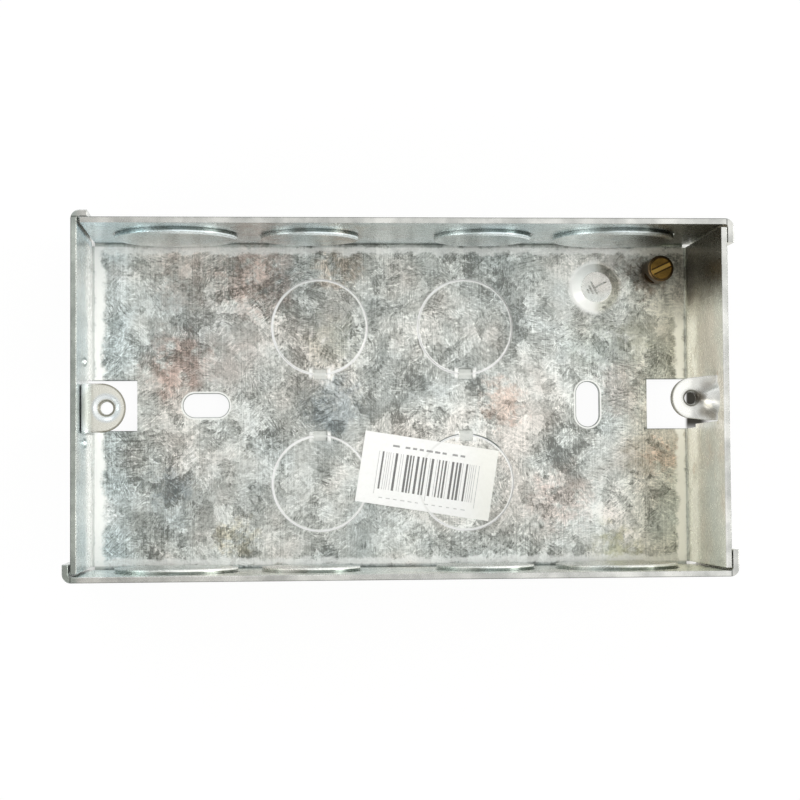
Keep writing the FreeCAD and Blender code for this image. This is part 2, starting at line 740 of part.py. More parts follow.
# The clamp screw: a plain shank in the pillar's bore and a low slotted head on its top.
screw = new_body("earth_screw")
screw_top = pillar_top + s.screw_head_height
screw_side = new_sketch(screw, "screw_half_profile", "XZ_Plane")
contour(screw_side, [
    (ZERO, screw_low),
    (s.screw_radius - s.screw_edge, screw_low),
    (s.screw_radius, screw_low + s.screw_edge),
    (s.screw_radius, pillar_top),
    (s.screw_head_radius, pillar_top),
    (s.screw_head_radius, screw_top - s.screw_edge),
    (s.screw_head_radius - s.screw_edge, screw_top),
    (ZERO, screw_top),
])
shank = screw.newObject("PartDesign::Revolution", "screw_shank")
shank.Profile = screw_side
shank.ReferenceAxis = (screw_side, ["V_Axis"])
shank.Angle = 360.0
screw.Tip = shank
doc.recompute()
driver_slot = new_sketch(screw, "screw_slot_outline", "XY_Plane", screw_top)
half_slot = s.screw_slot_width / 2
rectangle(driver_slot, -s.screw_slot_reach, s.screw_slot_reach, -half_slot, half_slot)
pocket(screw, "screw_slot", driver_slot, s.screw_slot_depth)
screw.Placement = FreeCAD.Placement(
    FreeCAD.Vector(pillar_x.number, pillar_y.number, 0),
    FreeCAD.Rotation(FreeCAD.Vector(0, 0, 1), s.screw_slot_turn.number))
bind(screw, "Placement.Base.x", pillar_x)
bind(screw, "Placement.Base.y", pillar_y)
bind(screw, "Placement.Rotation.Angle", s.screw_slot_turn)

# The paper label lies on the base and, where it crosses a knockout, on the raised disc.
label = new_body("paper_label")
label_low = s.sheet + s.base_disc_push
label_sheet = new_sketch(label, "label_outline", "XY_Plane", label_low)
half_label = s.label_length / 2
half_label_width = s.label_width / 2
rectangle(label_sheet, -half_label, half_label, -half_label_width, half_label_width)
pad(label, "label_sheet", label_sheet, s.label_thickness)
label.Placement = FreeCAD.Placement(
    FreeCAD.Vector(s.label_x.number, label_y.number, 0),
    FreeCAD.Rotation(FreeCAD.Vector(0, 0, 1), s.label_turn.number))
bind(label, "Placement.Base.x", s.label_x)
bind(label, "Placement.Base.y", label_y)
bind(label, "Placement.Rotation.Angle", s.label_turn)

doc.recompute()
parts = (box, slider, pillar, screw, label)
for thing in doc.Objects:
    if "Invalid" in thing.State or "Error" in thing.State:
        raise RuntimeError(f"{thing.Name} failed: {thing.State}")
for body in parts:
    shape = body.Shape
    if shape.isNull() or not shape.isValid() or len(shape.Solids) != 1:
        raise RuntimeError(f"{body.Label} is not one valid solid")
os.makedirs("parts", exist_ok=True)
for body in parts:
    shape = body.Shape
    shape.exportStep(f"parts/{body.Label}.step")
    bounds = shape.BoundBox
    print(body.Label, "volume", round(shape.Volume, 1), "mm3, faces", len(shape.Faces),
          "x", round(bounds.XMin, 2), round(bounds.XMax, 2),
          "y", round(bounds.YMin, 2), round(bounds.YMax, 2),
          "z", round(bounds.ZMin, 2), round(bounds.ZMax, 2))
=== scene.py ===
# %% [markdown]
# # A galvanised flush back box
# The real box is one folded sheet of zinc-coated steel with a sliding lug, a brass earth
# terminal and a paper label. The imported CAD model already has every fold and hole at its
# true size, so this lesson keeps those meshes and gives them finishes, then adds what a
# solid model leaves out: print, threads, the pressed earth sign and the zinc's crystals.

# %% Load the model
import math
import random

import bpy
from mathutils import Euler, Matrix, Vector


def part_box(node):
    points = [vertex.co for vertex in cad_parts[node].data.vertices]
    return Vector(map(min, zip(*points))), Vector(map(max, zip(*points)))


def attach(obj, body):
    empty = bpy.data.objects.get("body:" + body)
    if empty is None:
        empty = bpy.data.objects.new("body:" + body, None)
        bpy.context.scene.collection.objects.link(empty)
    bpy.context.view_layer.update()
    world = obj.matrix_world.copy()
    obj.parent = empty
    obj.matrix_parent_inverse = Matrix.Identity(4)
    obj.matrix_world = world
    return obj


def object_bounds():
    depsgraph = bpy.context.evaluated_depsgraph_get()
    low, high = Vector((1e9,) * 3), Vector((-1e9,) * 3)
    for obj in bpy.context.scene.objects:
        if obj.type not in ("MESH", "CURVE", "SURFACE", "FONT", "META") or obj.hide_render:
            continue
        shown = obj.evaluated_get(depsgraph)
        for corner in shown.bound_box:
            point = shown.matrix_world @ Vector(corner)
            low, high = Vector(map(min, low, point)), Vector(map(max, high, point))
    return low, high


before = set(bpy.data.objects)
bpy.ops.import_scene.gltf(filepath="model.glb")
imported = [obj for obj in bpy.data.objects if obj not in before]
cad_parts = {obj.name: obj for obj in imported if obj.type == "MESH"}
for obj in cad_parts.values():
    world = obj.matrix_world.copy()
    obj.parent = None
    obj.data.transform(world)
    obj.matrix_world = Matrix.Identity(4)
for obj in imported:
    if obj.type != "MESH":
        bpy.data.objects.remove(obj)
cad_box = [list(corner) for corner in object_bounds()]
print("nodes:", sorted(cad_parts))
print("CAD box in mm:", [[round(1000 * v, 2) for v in corner] for corner in cad_box])

# %% [markdown]
# ## The camera
# The photograph looks straight down into the tray from about 0.4 m, a little to the left
# of its middle. The place and the focal length were solved from the rim's corners, the
# folds at the foot of the walls and the lug holes, so the same features land on the same
# pixels. Depth of field stays off and there is no shift.

# %% Place the camera
lens_data = bpy.data.cameras.new("overhead_camera")
lens_data.sensor_width = 36.0
lens_data.lens = 83.93
camera = bpy.data.objects.new("overhead_camera", lens_data)
camera.location = (-0.0274, -0.0172, 0.4117)
camera.rotation_euler = Euler([math.radians(a) for a in (2.57, -4.02, -0.40)], "XYZ")
bpy.context.scene.collection.objects.link(camera)
bpy.context.scene.camera = camera
print("camera at", [round(v, 4) for v in camera.location], "lens", lens_data.lens)

# %% [markdown]
# ## Helpers for materials
# Every finish here is a small node tree. Helpers keep the trees readable: one makes an
# empty material, one adds a node with its values, one joins two sockets, and the rest wrap
# the nodes that come back most: sums, coordinates, colour ramps, relief and the output.


# %% Node helpers
def empty_material(name):
    material = bpy.data.materials.new(name)
    material.use_nodes = True
    material.node_tree.nodes.clear()
    return material


def add_node(tree, kind, settings=None, **values):
    """A node with its own settings, and values for its sockets by name."""
    node = tree.nodes.new("ShaderNode" + kind)
    for key, value in (settings or {}).items():
        setattr(node, key, value)
    for key, value in values.items():
        node.inputs[key.replace("_", " ")].default_value = value
    return node


def join(tree, source, output, target, socket):
    tree.links.new(source.outputs[output], target.inputs[socket])


def feed(tree, pair, target, socket):
    """Joins a (node, output) pair."""
    join(tree, pair[0], pair[1], target, socket)


def math_node(tree, operation, first, second=None, clamp=False):
    """A Math node; each operand is a number or a (node, output) pair."""
    node = add_node(tree, "Math", {"operation": operation, "use_clamp": clamp})
    for index, operand in enumerate((first, second)):
        if isinstance(operand, tuple):
            feed(tree, operand, node, index)
        elif operand is not None:
            node.inputs[index].default_value = operand
    return node


def scaled(tree, source, gain, start=1.0, output=0):
    """A start value plus a gain times the source."""
    node = math_node(tree, "MULTIPLY_ADD", (source, output), gain)
    node.inputs[2].default_value = start
    return node


def absolute(tree, source, output=0):
    return math_node(tree, "ABSOLUTE", (source, output))


def apart(tree, source, output, value):
    """How far the source is from a constant."""
    return absolute(tree, math_node(tree, "SUBTRACT", (source, output), value))


def vector_node(tree, operation, source, constant=None, output=0):
    """A Vector Math node with a constant second operand."""
    node = add_node(tree, "VectorMath", {"operation": operation})
    join(tree, source, output, node, 0)
    if constant is not None:
        node.inputs[1].default_value = constant
    return node


def split_axes(tree, source):
    axes = add_node(tree, "SeparateXYZ")
    join(tree, source, 0, axes, 0)
    return axes


def ramp_node(tree, stops, source):
    """A colour ramp through (place, colour) stops, fed by a (node, output) pair."""
    node = add_node(tree, "ValToRGB")
    ramp = node.color_ramp
    while len(ramp.elements) < len(stops):
        ramp.elements.new(0.5)
    for element, (place, colour) in zip(ramp.elements, stops):
        element.position = place
        element.color = (*colour, 1.0)
    feed(tree, source, node, "Fac")
    return node


def relief_node(tree, source, output, strength, depth):
    """A Bump node; the depth is in metres."""
    node = add_node(tree, "Bump", None, Strength=strength, Distance=depth)
    join(tree, source, output, node, "Height")
    return node


def send_out(tree, shader):
    """Sends a shader to the material's surface."""
    join(tree, shader, 0, add_node(tree, "OutputMaterial"), "Surface")


print("helpers ready")

# %% [markdown]
# Many finishes follow the shape: folds get painted highlights, creases get painted shade
# and the ground gets a painted shadow beside the box. A mask is 1 on its place and falls
# smoothly to 0 beside it. These helpers build masks from coordinates and combine them.


# %% Masks by place
def in_millimetres(tree):
    where = add_node(tree, "TexCoord")
    place = add_node(tree, "Mapping")
    place.inputs["Scale"].default_value = (1000, 1000, 1000)
    join(tree, where, "Object", place, "Vector")
    return place


FIRST, SECOND, RESULT = 6, 7, 2  # a colour Mix node's two inputs and its output


def colour_mix(tree, blend, base, colour=None):
    """A Mix node on a (node, output) pair and a constant colour."""
    mix = add_node(tree, "Mix", {"data_type": "RGBA", "blend_type": blend})
    feed(tree, base, mix, FIRST)
    if colour is not None:
        mix.inputs[SECOND].default_value = (*colour, 1.0)
    return mix


def multiplied(tree, base, colour, mask):
    """A colour pair times a constant colour, where a mask is 1."""
    mix = colour_mix(tree, "MULTIPLY", base, colour)
    join(tree, mask, 0, mix, "Factor")
    return mix, RESULT


def replaced(tree, base, colour, mask):
    """A colour pair turned into a constant colour, where a mask is 1."""
    mix = colour_mix(tree, "MIX", base, colour)
    join(tree, mask, 0, mix, "Factor")
    return mix, RESULT


def between(tree, source, output, low, high):
    """0 at low and 1 at high, smooth between; low may be the larger one."""
    step = add_node(tree, "MapRange", {"interpolation_type": "SMOOTHSTEP"})
    step.inputs["From Min"].default_value = low
    step.inputs["From Max"].default_value = high
    join(tree, source, output, step, "Value")
    return step


def near(tree, source, output, value, reach):
    """1 at a value, and 0 from a certain distance on."""
    return between(tree, apart(tree, source, output, value), 0, reach, reach * 0.3)


def both(tree, *masks):
    """1 where all masks are; a number among them scales the product."""
    total = masks[0]
    for mask in masks[1:]:
        factor = mask if isinstance(mask, (int, float)) else (mask, 0)
        total = math_node(tree, "MULTIPLY", (total, 0), factor)
    return total


def either(tree, *masks):
    """1 where any mask is."""
    total = masks[0]
    for mask in masks[1:]:
        total = math_node(tree, "MAXIMUM", (total, 0), (mask, 0))
    return total


def opposite(tree, mask):
    return math_node(tree, "SUBTRACT", 1.0, (mask, 0))


def distance(tree, place, centre, axes, mirrored=False):
    """Distance from a point along the named axes; mirrored measures all four corners."""
    if mirrored:
        place = vector_node(tree, "ABSOLUTE", place)
    kept = [float(axis in axes) for axis in "xyz"]
    flat = vector_node(tree, "MULTIPLY", place, kept)
    return vector_node(tree, "DISTANCE", flat, [c * k for c, k in zip(centre, kept)])


def slot_distance(tree, axes, centre_x, straight, lengthways):
    """Distance from a slot's centre line, which runs along x or y."""
    along = math_node(tree, "SUBTRACT", (axes, "X"), centre_x)
    across = math_node(tree, "ADD", (axes, "Y"), 0.0)
    if lengthways == "y":
        along, across = across, along
    along = math_node(tree, "SUBTRACT", (absolute(tree, along), 0), straight)
    along = math_node(tree, "MAXIMUM", (along, 0), 0.0)
    square = math_node(tree, "MULTIPLY", (along, 0), (along, 0))
    other = math_node(tree, "MULTIPLY", (across, 0), (across, 0))
    total = math_node(tree, "ADD", (square, 0), (other, 0))
    return math_node(tree, "SQRT", (total, 0))


print("mask helpers ready")

# %% [markdown]
# ## The floor and the studio
# The photograph has a plain white ground that also shows through the windows and slots.
# The floor is a pale matt plane. Seen straight on or in a mirror it is lifted towards
# white with Light Path, so it reads as the photograph's ground without extra light on
# the box, and it keeps a soft shadow. Below the four corner notches the lift fades out, so
# these holes show the ground's own shade. Behind the fixed lug the lift fades out too, and
# there the ground's colour is darkened to a painted shadow.

# %% Floor
floor_mesh = bpy.data.meshes.new("studio_floor")
floor_mesh.from_pydata([(-2, -2, 0), (2, -2, 0), (2, 2, 0), (-2, 2, 0)], [], [(0, 1, 2, 3)])
floor = bpy.data.objects.new("studio_floor", floor_mesh)
floor.location.z = cad_box[0][2] - 0.0003
bpy.context.scene.collection.objects.link(floor)

paper = empty_material("pale_ground")
tree = paper.node_tree
path = add_node(tree, "LightPath")
seen = math_node(tree, "MAXIMUM", (path, "Is Camera Ray"), (path, "Is Glossy Ray"))
seen = math_node(tree, "MAXIMUM", (seen, 0), (path, "Is Transmission Ray"))
lift = math_node(tree, "MULTIPLY", (seen, 0), 0.93)
ground = in_millimetres(tree)
axes = split_axes(tree, ground)
notch = distance(tree, ground, (66.2, 36.2, 0.0), "xy", mirrored=True)
away_y = absolute(tree, axes, "Y")
# A painted shadow: behind the fixed lug's window the ground is darkened and not lifted.
shadow_patch = both(tree, between(tree, axes, "X", 65.3, 66.3), between(tree, axes, "X", 73.5, 69.0),
              between(tree, away_y, 0, 8.5, 4.0))
lift = both(tree, lift, between(tree, notch, "Value", 1.2, 3.0), opposite(tree, shadow_patch))
pale = add_node(tree, "RGB")
pale.outputs[0].default_value = (0.80, 0.80, 0.80, 1.0)
shaded = multiplied(tree, (pale, 0), (0.05, 0.048, 0.042), shadow_patch)
matt = add_node(tree, "BsdfDiffuse")
feed(tree, shaded, matt, "Color")
glow = add_node(tree, "Emission", Color=(1, 1, 1, 1), Strength=1.0)
mixed = add_node(tree, "MixShader")
for socket, source in enumerate((lift, matt, glow)):
    join(tree, source, 0, mixed, socket)
send_out(tree, mixed)
floor_mesh.materials.append(paper)
print("floor at", round(1000 * floor.location.z, 2), "mm")

# %% [markdown]
# ## Light
# The zinc works like a blurred mirror, so what stands round the box matters as much as
# the lamps. The world is a soft white room with one dark, brownish shape overhead and a
# little to the left, where somebody with a camera would stand: the right and the upper
# wall mirror it and turn olive and grey, while the left wall faces the bright side and
# gets painted light too. The shape is a ramp over the angle from one direction. Three big
# lamps add windows' light: the one at the lower left makes the foot of the right wall
# shine cream, together with a painted highlight there.


# %% World and lamps
world = bpy.data.worlds.new("soft_room")
bpy.context.scene.world = world
world.use_nodes = True
tree = world.node_tree
tree.nodes.clear()
where = add_node(tree, "TexCoord")
side = scaled(tree, split_axes(tree, where), 0.5, 0.5, "X")
room = ramp_node(tree, [(0.0, (1.00, 1.00, 1.00)), (0.30, (0.96, 0.97, 0.98)),
                        (0.5, (0.93, 0.94, 0.94)), (1.0, (1.00, 0.98, 0.94))], (side, 0))
overhead = Vector((-0.40, -0.12, 0.91)).normalized()
figure = vector_node(tree, "DOT_PRODUCT", where, overhead, "Generated")
shape = ramp_node(tree, [(0.86, (0.0, 0.0, 0.0)), (0.985, (1.0, 1.0, 1.0))],
                  (figure, "Value"))
dimmed = colour_mix(tree, "MIX", (room, "Color"), (0.17, 0.14, 0.10))
join(tree, shape, "Color", dimmed, "Factor")
back = add_node(tree, "Background", Strength=1.36)
out = add_node(tree, "OutputWorld")
join(tree, dimmed, RESULT, back, "Color")
join(tree, back, 0, out, "Surface")


def softbox(name, place, size, power, colour=(1, 1, 1)):
    """A square area lamp that faces the middle of the box."""
    lamp = bpy.data.lights.new(name, "AREA")
    lamp.shape = "SQUARE"
    lamp.size = size
    lamp.energy = power
    lamp.color = colour
    holder = bpy.data.objects.new(name, lamp)
    holder.location = place
    holder.rotation_euler = (-Vector(place)).to_track_quat("-Z", "Y").to_euler()
    bpy.context.scene.collection.objects.link(holder)
    return holder


softbox("window_right", (0.95, 0.05, 0.36), 0.5, 5.0, (1.0, 0.985, 0.95))
softbox("window_left", (-0.85, -0.45, 0.42), 0.5, 3.0, (1.0, 0.97, 0.90))
softbox("window_top", (-0.35, 0.90, 0.42), 0.6, 2.0, (0.95, 0.98, 1.0))

# %% [markdown]
# ## Galvanised steel
# Zinc freezes on the sheet into feathery crystals, the spangle. Each crystal grows from
# its own middle, so its ferns radiate, and neighbours look light and dark with frayed
# edges. Voronoi cells give the crystals in two sizes. Noise over the direction from a
# cell's middle gives the ferns, and a cell's random colour turns a stack of thin noise
# plates for the needles, so base and walls match. Fine upright lines are the sheet's
# rolling marks, wide noise gives warm and cool patches, and specks the dark mottle.


# %% Crystal directions
FULL_TURN = 6.283


def noise(tree, place, per_mm, detail=3.0, roughness=0.6):
    node = add_node(tree, "TexNoise", Scale=per_mm, Detail=detail, Roughness=roughness)
    join(tree, place, 0, node, "Vector")
    return node


def drift(tree, place, per_mm):
    """Noise as a small vector, which pushes places about."""
    push = noise(tree, place, per_mm, 5.0, 0.7)
    return vector_node(tree, "SUBTRACT", push, (0.5, 0.5, 0.5), "Color")


def frayed(tree, place, wander, reach):
    """The same place, pushed about by a drift so that borders fray."""
    spread = add_node(tree, "VectorMath", {"operation": "SCALE"}, Scale=reach)
    join(tree, wander, 0, spread, 0)
    pushed = add_node(tree, "VectorMath", {"operation": "ADD"})
    join(tree, place, 0, pushed, 0)
    join(tree, spread, 0, pushed, 1)
    return pushed


def crystals(tree, place, per_mm):
    cells = add_node(tree, "TexVoronoi", Scale=per_mm)
    join(tree, place, 0, cells, "Vector")
    return cells


def needles(tree, place, cells, extra_turn, along, across):
    """Noise in thin plates, turned by each cell's own random colour."""
    turn = vector_node(tree, "MULTIPLY_ADD", cells, [FULL_TURN] * 3, "Color")
    turn.inputs[2].default_value = (0.0, 0.0, extra_turn)
    turned = add_node(tree, "VectorRotate", {"rotation_type": "EULER_XYZ"})
    join(tree, place, 0, turned, "Vector")
    join(tree, turn, 0, turned, "Rotation")
    flat = add_node(tree, "Mapping")
    flat.inputs["Scale"].default_value = (along, across, along)
    join(tree, turned, 0, flat, "Vector")
    return noise(tree, flat, 1.0)


def ferns(tree, place, cells, streaks):
    """Noise over the direction from each crystal's own middle, so that it radiates."""
    away = vector_node(tree, "SUBTRACT", place)
    join(tree, cells, "Position", away, 1)
    aim = vector_node(tree, "NORMALIZE", away)
    own = add_node(tree, "VectorMath", {"operation": "SCALE"}, Scale=60.0)
    join(tree, cells, "Color", own, 0)
    field = vector_node(tree, "MULTIPLY_ADD", aim, [streaks] * 3)
    join(tree, own, 0, field, 2)
    return noise(tree, field, 1.0, 4.0, 0.65)


print("crystal helpers ready")

# %% [markdown]
# Now the marks of this box: two folds along each side, eight rings in the long walls and
# four in the base, the slots, the pressed boss whose left slope gets a painted highlight,
# the small flats of the knockout tabs, and the plain bright metal of the cut rim and the
# fixed lug. Folds, rings, slot edges and the boss get painted highlights, with some real
# burnish; creases, cuts and the discs' upper edges get painted shade.


# %% Press marks
RIM = 1000 * cad_box[1][2]
SIDE_X, SIDE_Y, SHEET = 65.8, 35.6, 1.2      # the walls' inner faces and the sheet
WALL_DISC_HEIGHT = 15.6
SMALL_DISC, LARGE_DISC = 18.5, 46.8          # how far along the wall from its middle
SMALL_RADIUS, LARGE_RADIUS = 10.4, 12.9
BASE_DISC, BASE_RADIUS = (16.1, 17.2), 10.4
LEFT_SLOT, RIGHT_SLOT = -41.0, 43.4
SLOT_STRAIGHT, SLOT_RADIUS = 2.4, 2.6
WINDOW_END, WINDOW_SIDE = 56.7, 5.5
BOSS = (45.4, 26.0, 0.0)


def crescent(tree, place, centre, radius, shift):
    """A sliver at the top of a wall disc: outside it for a shift up, inside for down."""
    here = distance(tree, place, (centre, 0, WALL_DISC_HEIGHT), "xz", mirrored=True)
    moved = distance(tree, place, (centre, 0, WALL_DISC_HEIGHT + shift), "xz", mirrored=True)
    inner, outer = (here, moved) if shift > 0 else (moved, here)
    return both(tree, between(tree, inner, "Value", radius - 0.1, radius + 0.35),
                between(tree, outer, "Value", radius + 0.1, radius - 0.5))


def indoors(tree, place):
    """1 on the tray's inner faces, 0 on its outer ones and in the discs' recesses."""
    away = split_axes(tree, vector_node(tree, "ABSOLUTE", place))
    return both(tree, between(tree, away, "X", 66.3, 66.0),
                between(tree, away, "Y", 35.80, 35.65))


def wall_marks(tree, place, axes, away_y, inside):
    """The knockouts of the long walls: a painted highlight each under a painted shadow at its cut
    edge.
    """
    on_wall = both(tree, between(tree, away_y, 0, 34.0, 34.5), inside)
    small = distance(tree, place, (SMALL_DISC, 0, WALL_DISC_HEIGHT), "xz", mirrored=True)
    large = distance(tree, place, (LARGE_DISC, 0, WALL_DISC_HEIGHT), "xz", mirrored=True)
    cut = either(tree, near(tree, small, "Value", SMALL_RADIUS + 0.15, 0.40),
                 near(tree, large, "Value", LARGE_RADIUS + 0.20, 0.40))
    cut = both(tree, cut, between(tree, axes, "Z", 15.0, 18.0))
    deep = between(tree, away_y, 0, 34.95, 35.15)
    bright = either(tree, crescent(tree, place, SMALL_DISC, SMALL_RADIUS, -3.0),
                    crescent(tree, place, LARGE_DISC, LARGE_RADIUS, -3.6),
                    both(tree, cut, opposite(tree, deep)))
    dark = either(tree, both(tree, cut, deep),
                  crescent(tree, place, SMALL_DISC, SMALL_RADIUS + 0.3, 1.2),
                  crescent(tree, place, LARGE_DISC, LARGE_RADIUS + 0.35, 1.5))
    halves = []
    for centre in (-LARGE_DISC, -SMALL_DISC, SMALL_DISC, LARGE_DISC):
        offset = math_node(tree, "SUBTRACT", (axes, "X"), centre)
        halves.append(both(tree, between(tree, offset, 0, -7.0, 3.0),
                           between(tree, offset, 0, 14.5, 14.0)))
    right_half = either(tree, *halves)
    share = scaled(tree, right_half, 0.40, 0.58)
    return both(tree, bright, on_wall, right_half, 0.95), both(tree, dark, on_wall, share)


def press_marks(tree, place, inside, wander):
    """Masks: burnish and painted highlights, painted shade, tab flats, plain cut metal, bloom and
    highlights' matt share, the far slope.
    """
    axes = split_axes(tree, place)
    away_x, away_y = absolute(tree, axes, "X"), absolute(tree, axes, "Y")
    loose = split_axes(tree, frayed(tree, place, wander, 4.5))
    loose_x, loose_y = absolute(tree, loose, "X"), absolute(tree, loose, "Y")
    low = between(tree, axes, "Z", 2.3, 1.9)
    uneven = between(tree, noise(tree, place, 0.16, 4.0), "Fac", 0.30, 0.50)

    off_corner = either(tree, between(tree, axes, "Y", 26.0, 16.0),
                        opposite(tree, between(tree, axes, "X", 0.0, 1.0)))
    end_fold = both(tree, near(tree, loose_x, 0, 64.4, 1.9), low, off_corner)
    end_foot = both(tree, between(tree, away_x, 0, 65.2, 65.6),
                    near(tree, axes, "Z", 6.5, 7.5), uneven, off_corner, inside, 0.95)
    # Painted light on the left wall, which faces the lamps.
    left_wall_light = both(tree, between(tree, axes, "X", -65.0, -65.5),
                     between(tree, axes, "Z", 20.0, 8.0), uneven, inside, 0.85)
    long_fold = both(tree, near(tree, loose_y, 0, 34.3, 1.3), low, 0.62)
    crease_x = both(tree, near(tree, away_x, 0, SIDE_X - 0.28, 0.34), low, 0.6)
    crease_y = both(tree, near(tree, away_y, 0, SIDE_Y - 0.10, 0.80),
                    between(tree, axes, "Z", 4.4, 2.4), 0.75)

    base_ring = distance(tree, place, (*BASE_DISC, 0), "xy", mirrored=True)
    patchy = add_node(tree, "MapRange", None, From_Min=0.38, From_Max=0.55, To_Min=0.70)
    join(tree, noise(tree, place, 0.10, 3.0), "Fac", patchy, "Value")
    base_rings = both(tree, near(tree, base_ring, "Value", BASE_RADIUS + 0.02, 0.44), low,
                      patchy)
    open_ring = distance(tree, place, (BASE_DISC[0], -BASE_DISC[1], 0), "xy")
    from_tab = apart(tree, axes, "X", BASE_DISC[0])
    gap = both(tree, near(tree, open_ring, "Value", BASE_RADIUS + 0.22, 0.34), low,
               between(tree, axes, "Y", -10.4, -8.8), between(tree, from_tab, 0, 1.5, 1.8))
    wall_highlight, wall_shadow = wall_marks(tree, place, axes, away_y, inside)

    left_slot = slot_distance(tree, axes, LEFT_SLOT, SLOT_STRAIGHT, "x")
    right_slot = slot_distance(tree, axes, RIGHT_SLOT, SLOT_STRAIGHT, "y")
    edges = either(tree, near(tree, left_slot, 0, SLOT_RADIUS + 0.25, 0.36),
                   near(tree, right_slot, 0, SLOT_RADIUS + 0.25, 0.36))
    edges = both(tree, edges, low, 0.85)
    cuts = either(tree, near(tree, left_slot, 0, SLOT_RADIUS, 0.22),
                  near(tree, right_slot, 0, SLOT_RADIUS, 0.22))
    cuts = both(tree, cuts, low, 0.9)
    window_end = both(tree, near(tree, axes, "X", WINDOW_END, 0.28),
                      between(tree, away_y, 0, 5.8, 5.6))
    window_side = both(tree, near(tree, away_y, 0, WINDOW_SIDE, 0.28),
                       between(tree, away_x, 0, 55.9, 56.1))
    cuts = either(tree, cuts, both(tree, either(tree, window_end, window_side), low, 0.75))

    boss = distance(tree, place, BOSS, "xy")
    around = both(tree, between(tree, boss, "Value", 3.25, 3.5),
                  between(tree, boss, "Value", 6.4, 5.2))
    leftwards = math_node(tree, "SUBTRACT", BOSS[0] + 0.6, (axes, "X"))
    slope = both(tree, around, between(tree, leftwards, 0, -1.2, 1.4))
    lip = both(tree, near(tree, boss, "Value", 3.40, 0.24),
               between(tree, leftwards, 0, 1.0, -1.0),
               between(tree, axes, "Y", BOSS[1] + 1.6, BOSS[1] - 0.2))

    tab_x = apart(tree, away_x, 0, BASE_DISC[0])
    tab_y = math_node(tree, "MULTIPLY", (apart(tree, away_y, 0, 6.8), 0), 1.25)
    tab = math_node(tree, "MAXIMUM", (tab_x, 0), (tab_y, 0))
    flats = both(tree, between(tree, tab, 0, 1.70, 1.05), low, 0.80)
    curls = both(tree, near(tree, tab, 0, 2.0, 0.6), low, uneven,
                 near(tree, base_ring, "Value", BASE_RADIUS, 1.6))

    rim = between(tree, axes, "Z", RIM - 0.20, RIM - 0.07)
    lug = both(tree, between(tree, axes, "Z", 26.6, 27.4),
               between(tree, axes, "X", 54.0, 55.0), between(tree, away_y, 0, 5.3, 5.1),
               between(tree, axes, "X", 65.78, 65.73))
    edge_x = near(tree, away_x, 0, SIDE_X + SHEET, 0.22)
    edge_y = near(tree, away_y, 0, SIDE_Y + SHEET, 0.22)
    outline = both(tree, either(tree, edge_x, edge_y),
                   between(tree, axes, "Z", RIM - 0.6, RIM - 0.2), 0.8)
    # Painted highlights, with some real burnish, on the folds, the end walls' feet, the left
    # wall, the base rings, the discs' slivers, the slot edges, the boss and the tab curls.
    # Painted shade in the creases, cuts, slits and under the discs' edges, and a dark outline
    # round the rim. The matt share covers these highlights, the boss, the lugs and the right
    # wall's foot.
    burnish_and_highlights = either(tree, end_fold, end_foot, left_wall_light, long_fold, base_rings,
                       wall_highlight, edges, slope, lip, curls)
    painted_shade = either(tree, crease_x, crease_y, wall_shadow, gap, cuts, outline)
    lugs = either(tree, lug, both(tree, between(tree, axes, "X", -55.0, -55.5),
                                  between(tree, axes, "X", -65.7, -65.5),
                                  between(tree, away_y, 0, 6.5, 6.0),
                                  between(tree, axes, "Z", 24.5, 25.5)))
    bend = both(tree, lugs, between(tree, axes, "X", -63.6, -64.4))
    bloom_and_highlights = either(tree, burnish_and_highlights, both(tree, around, 0.90), both(tree, lugs, 0.55), bend,
                   both(tree, between(tree, axes, "X", 65.2, 65.6), off_corner,
                        between(tree, axes, "Z", 1.6, 2.4), inside, 0.85))
    far_slope = math_node(tree, "SUBTRACT", (around, 0), (slope, 0), clamp=True)
    return axes, burnish_and_highlights, painted_shade, flats, either(tree, rim, lug), bloom_and_highlights, far_slope


print("rim at", round(RIM, 2), "mm")

# %% [markdown]
# The tone adds the crystals, needles, specks and rolling lines by weight. Its contrast
# rises and falls over the sheet, because some crystals froze coarse and dark and others
# smooth. A ramp turns the tone into greys, stains lay a few warm and blue patches over it
# where zinc has tarnished, one of them a painted shadow beside the pillar, and the marks
# of the press come last, with their painted highlights and shade.


# %% Zinc tone
def weighted_sum(tree, parts):
    """Sockets times their weights, added up."""
    total = None
    for source, output, weight in parts:
        share = math_node(tree, "MULTIPLY", (source, output), weight)
        total = share if total is None else math_node(tree, "ADD", (total, 0), (share, 0))
    return total


